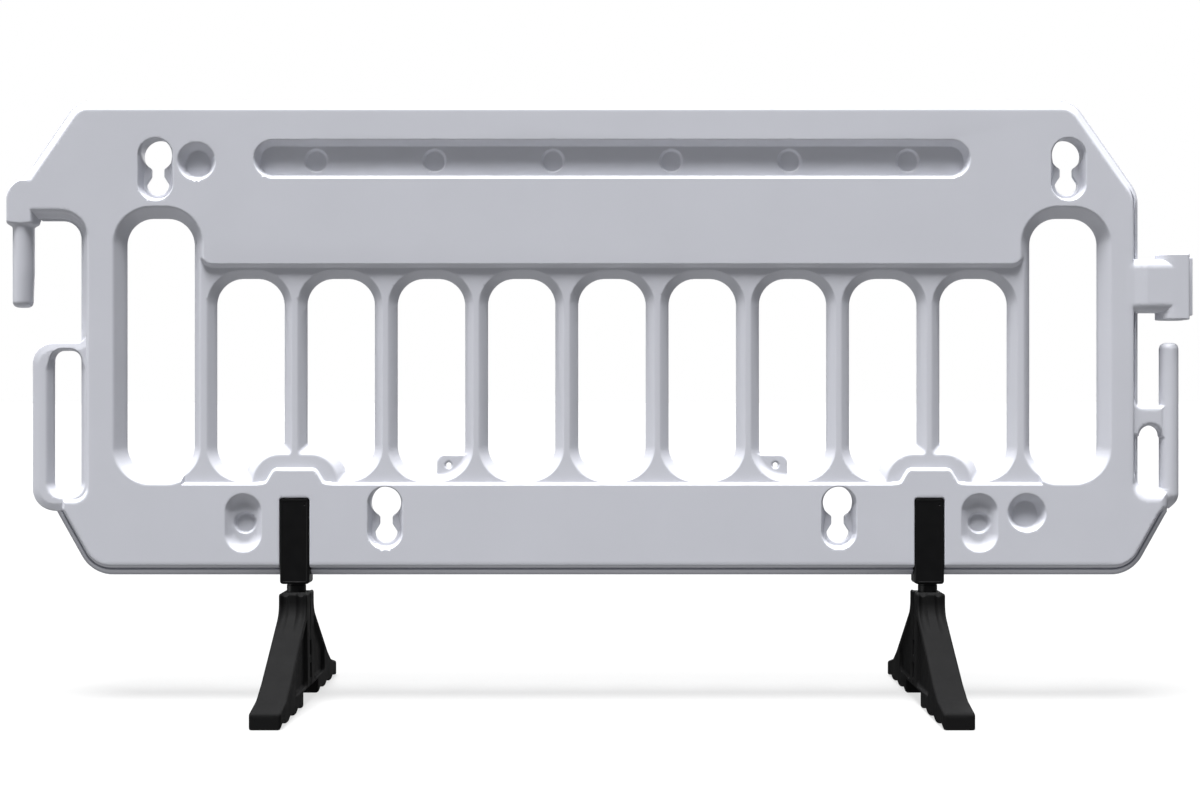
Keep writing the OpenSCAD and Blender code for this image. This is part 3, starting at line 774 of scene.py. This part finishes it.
def block_mesh(step):
    """The black block under the hood, about its own axis: soft corners, a shallow frame and a gate mark."""
    low, high = BLOCK_LOW, BLOCK_HIGH
    half_w, half_t = (high[0] - low[0]) / 2, (high[1] - low[1]) / 2
    margin = 2 * step
    field = Field((-half_w - margin, -half_t - margin, low[2] - margin),
                  (half_w + margin, half_t + margin, high[2] + margin), step)
    centre, height = (low[2] + high[2]) / 2, high[2] - low[2]
    plan = rounded(field.x, field.z, 0, centre, 2 * half_w, height, BLOCK_R)
    body = smooth_max(plan, np.abs(field.y) - half_t, 4)
    face = rounded(field.x, field.z, 0, centre, 2 * half_w - BLOCK_FRAME, height - BLOCK_FRAME, 3)
    body = smooth_max(body, -np.maximum(face, half_t - BLOCK_FRAME_DEPTH - np.abs(field.y)), 0.8)
    gate = circle(field.x, field.z, half_w - GATE_IN, high[2] - GATE_DOWN, GATE_R)
    body = np.maximum(body, -np.maximum(gate, half_t - GATE_DEPTH - np.abs(field.y)))
    field.value = body.astype(np.float32)
    return field.mesh("block_mesh", 0, BLOCK_KEEP)


def neck_mesh(step):
    """The visible collar of the bush between a block and its foot."""
    radius = (NECK_HIGH[0] - NECK_LOW[0]) / 2
    bottom, top = FOOT_TOP - NECK_SUNK, NECK_HIGH[2]
    margin = 2 * step
    field = Field((-radius - margin, -radius - margin, bottom - margin),
                  (radius + margin, radius + margin, top + margin), step)
    ring = np.hypot(field.x, field.y)
    body = smooth_max(ring - radius, np.abs(field.z - (bottom + top) / 2) - (top - bottom) / 2, 1.5)
    field.value = np.maximum(body, NECK_BORE - ring).astype(np.float32)
    return field.mesh("neck_mesh", 0, NECK_KEEP)


def node(tree, kind, **inputs):
    """Adds a shader node and sets its inputs, by value or by link from another socket."""
    made = tree.nodes.new(kind)
    for name, value in inputs.items():
        socket = made.inputs[name.replace("_", " ")]
        if isinstance(value, bpy.types.NodeSocket):
            tree.links.new(value, socket)
        else:
            socket.default_value = value
    return made


def ramp(tree, factor, stops):
    """A colour ramp through (position, colour) stops."""
    made = tree.nodes.new("ShaderNodeValToRGB")
    while len(made.color_ramp.elements) < len(stops):
        made.color_ramp.elements.new(1)
    for element, (place, colour) in zip(made.color_ramp.elements, stops):
        element.position = place
        element.color = (*colour, 1)
    tree.links.new(factor, made.inputs["Fac"])
    return made.outputs["Color"]


def grey(value):
    return (value, value, value)


def surface(name, tint, spread, rough, grain, grain_height, mirror=0.5):
    """Procedural plastic or rubber: a clouded colour, uneven gloss and a fine moulded grain.

    tint is the middle colour, spread how far it drifts, rough the lowest and highest roughness,
    grain the texture's cells a metre, grain_height its height in metres and mirror its reflectivity."""
    material = bpy.data.materials.new(name)
    material.use_nodes = True
    tree = material.node_tree
    shader = tree.nodes["Principled BSDF"]
    place = tree.nodes.new("ShaderNodeTexCoord").outputs["Object"]
    clouds = node(tree, "ShaderNodeTexNoise", Vector=place, Scale=6.0, Detail=3.0, Roughness=0.55)
    low = [c * (1 - spread) for c in tint]
    high = [c * (1 + spread) for c in tint]
    colour = ramp(tree, clouds.outputs["Fac"], [(0.3, low), (0.7, high)])
    tree.links.new(colour, shader.inputs["Base Color"])
    scuffs = node(tree, "ShaderNodeTexNoise", Vector=place, Scale=grain / 14, Detail=5.0, Roughness=0.6)
    gloss = ramp(tree, scuffs.outputs["Fac"], [(0.35, grey(rough[0])), (0.65, grey(rough[1]))])
    tree.links.new(gloss, shader.inputs["Roughness"])
    fine = node(tree, "ShaderNodeTexNoise", Vector=place, Scale=grain, Detail=2.0, Roughness=0.5)
    bump = node(tree, "ShaderNodeBump", Height=fine.outputs["Fac"], Strength=1.0, Distance=grain_height)
    tree.links.new(bump.outputs["Normal"], shader.inputs["Normal"])
    shader.inputs["Specular IOR Level"].default_value = mirror
    return material


def steel(name):
    """Zinc-plated steel with fine turning marks."""
    material = surface(name, (0.55, 0.56, 0.58), 0.06, (0.28, 0.42), 900, 0.00003)
    material.node_tree.nodes["Principled BSDF"].inputs["Metallic"].default_value = 1.0
    return material


def piece(name, mesh, body, material, replaced, shift=0.0):
    """Puts a mesh in the scene as the piece that stands for some nodes."""
    thing = bpy.data.objects.new(name, mesh)
    bpy.context.scene.collection.objects.link(thing)
    thing.location.x = shift * MM
    mesh.materials.clear()
    mesh.materials.append(material)
    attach(thing, body)
    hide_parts(*replaced)
    return thing


def barricade():
    """All the pieces: the moulding, and on each side the foot, block, collar and small turned parts."""
    plastic = surface("panel_plastic", (0.605, 0.615, 0.668), 0.015, (0.42, 0.52), 520, 0.00006)
    dark = surface("block_plastic", (0.0045, 0.0045, 0.0048), 0.1, (0.3, 0.42), 700, 0.00002, 0.2)
    rubber = surface("foot_rubber", (0.0105, 0.0105, 0.0107), 0.06, (0.6, 0.74), 420, 0.00008, 0.02)
    plated = steel("plated_steel")
    piece("moulded_panel", panel_mesh(PANEL_STEP), BODY, plastic, ["panel"])
    foot = foot_mesh(FOOT_STEP)
    block = block_mesh(BLOCK_STEP)
    neck = neck_mesh(NECK_STEP)
    for side, sign in (("left", -1), ("right", 1)):
        x = PANEL_X + sign * FOOT_X
        unit = side + "_foot_unit"
        piece(side + "_rubber_foot", foot, unit, rubber, [side + "_foot"], x)
        piece(side + "_moulded_block", block, BODY, dark, [side + "_foot_block"], x)
        piece(side + "_neck_collar", neck, unit, dark, [side + "_neck_bush"], x)
        for part in ("spindle", "cross_pin", "retaining_clip", "thrust_washer", "end_washer"):
            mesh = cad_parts[side + "_" + part].data
            mesh.materials.clear()
            mesh.materials.append(dark if part == "thrust_washer" else plated)


def lamp(name, direction, strength, softness):
    """A distant soft lamp; direction points from the object to it, softness is its width in degrees."""
    light = bpy.data.lights.new(name, "SUN")
    light.energy = strength
    light.angle = math.radians(softness)
    thing = bpy.data.objects.new(name, light)
    thing.rotation_euler = Vector(direction).to_track_quat("Z", "Y").to_euler()
    bpy.context.scene.collection.objects.link(thing)


def pale_floor():
    """A floor that shows shadows but sends no light of its own on to the object."""
    bpy.ops.mesh.primitive_plane_add(size=FLOOR_SIZE, location=(0, FLOOR_BACK, 0))
    floor = bpy.context.object
    floor.name = "floor"
    floor.visible_diffuse = False
    floor.visible_glossy = False
    material = bpy.data.materials.new("floor_white")
    material.use_nodes = True
    shader = material.node_tree.nodes["Principled BSDF"]
    shader.inputs["Base Color"].default_value = (*grey(FLOOR_TINT), 1)
    shader.inputs["Emission Color"].default_value = (*grey(1), 1)
    shader.inputs["Emission Strength"].default_value = FLOOR_GLOW
    shader.inputs["Roughness"].default_value = 0.95
    shader.inputs["Specular IOR Level"].default_value = 0.0
    floor.data.materials.append(material)


def surroundings():
    """White as the camera sees it, and graded from floor to ceiling as the object does."""
    world = bpy.data.worlds.new("studio")
    bpy.context.scene.world = world
    world.use_nodes = True
    tree = world.node_tree
    way = tree.nodes.new("ShaderNodeSeparateXYZ")
    tree.links.new(tree.nodes.new("ShaderNodeTexCoord").outputs["Generated"], way.inputs["Vector"])
    height = node(tree, "ShaderNodeMapRange", Value=way.outputs["Z"], From_Min=-1.0, From_Max=1.0)
    around = node(tree, "ShaderNodeBackground", Color=ramp(tree, height.outputs["Result"], AROUND))
    white = tree.nodes["Background"]
    white.inputs["Color"].default_value = (*grey(1), 1)
    mixed = tree.nodes.new("ShaderNodeMixShader")
    tree.links.new(tree.nodes.new("ShaderNodeLightPath").outputs["Is Camera Ray"], mixed.inputs[0])
    tree.links.new(around.outputs[0], mixed.inputs[1])
    tree.links.new(white.outputs[0], mixed.inputs[2])
    tree.links.new(mixed.outputs[0], tree.nodes["World Output"].inputs["Surface"])


def camera():
    """The photograph's view: level, at half height, in front of the panel's centre line."""
    lens = bpy.data.cameras.new("camera")
    lens.sensor_width = SENSOR
    lens.lens = LENS
    lens.shift_x = LENS_SHIFT
    eye = bpy.data.objects.new("camera", lens)
    eye.location = (PANEL_X * MM, -EYE_AWAY, EYE_HIGH)
    eye.rotation_euler = (math.radians(90), 0, 0)
    bpy.context.scene.collection.objects.link(eye)
    bpy.context.scene.camera = eye


barricade()
pale_floor()
surroundings()
for settings in LAMPS:
    lamp(*settings)
camera()
bpy.context.scene.view_settings.view_transform = "Standard"
